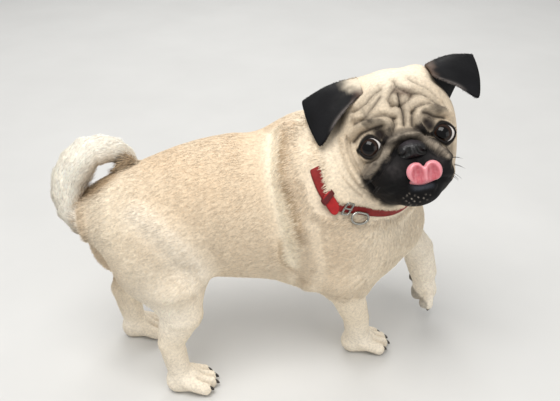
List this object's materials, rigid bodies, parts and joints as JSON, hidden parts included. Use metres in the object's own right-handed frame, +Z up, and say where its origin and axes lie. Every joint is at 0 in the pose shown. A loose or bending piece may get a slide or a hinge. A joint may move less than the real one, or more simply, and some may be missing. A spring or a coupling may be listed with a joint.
{
  "type": "standing pug figure",
  "caption": "Life-size still model of a fawn pug with a curled tail, its head turned aside, one forepaw raised, its tongue on its nose and a plain red collar.",
  "frame": {"origin": "centre of the bounding box at floor level", "axes": "+X the way the body heads, +Y the dog's left side, +Z up"},
  "size_m": [0.3988, 0.1764, 0.3247],
  "materials": {
    "fawn": "short fawn coat, matt",
    "cream": "pale cream coat, matt",
    "black_coat": "short black coat, soft sheen",
    "nose_skin": "pebbled leathery skin, slightly moist",
    "eye_gloss": "dark brown eye, wet gloss",
    "tongue_skin": "pink moist skin",
    "claw_horn": "dark horn, satin",
    "red_strap": "red leather strap, satin",
    "steel": "plated steel, polished"
  },
  "bodies": {
    "root": {"torso": "fawn", "tail": "cream", "neck": "fawn", "foreleg_right": "fawn", "forepaw_right": "cream", "foreleg_left": "fawn", "forepaw_left": "cream", "hindleg_right": "fawn", "hindpaw_right": "cream", "hindleg_left": "fawn", "hindpaw_left": "cream", "foreclaw_right_1": "claw_horn", "foreclaw_right_2": "claw_horn", "foreclaw_right_3": "claw_horn", "foreclaw_right_4": "claw_horn", "foreclaw_left_1": "claw_horn", "foreclaw_left_2": "claw_horn", "foreclaw_left_3": "claw_horn", "foreclaw_left_4": "claw_horn", "hindclaw_right_1": "claw_horn", "hindclaw_right_2": "claw_horn", "hindclaw_right_3": "claw_horn", "hindclaw_right_4": "claw_horn", "hindclaw_left_1": "claw_horn", "hindclaw_left_2": "claw_horn", "hindclaw_left_3": "claw_horn", "hindclaw_left_4": "claw_horn", "eye_right": "eye_gloss", "eye_left": "eye_gloss", "nose": "nose_skin", "tongue": "tongue_skin", "ear_right": "black_coat", "ear_left": "black_coat", "face": "fawn", "head": "fawn", "collar_strap": "red_strap", "strap_end": "red_strap", "collar_keeper": "red_strap", "collar_buckle": "steel", "collar_ring": "steel"}
  },
  "joints": []
}
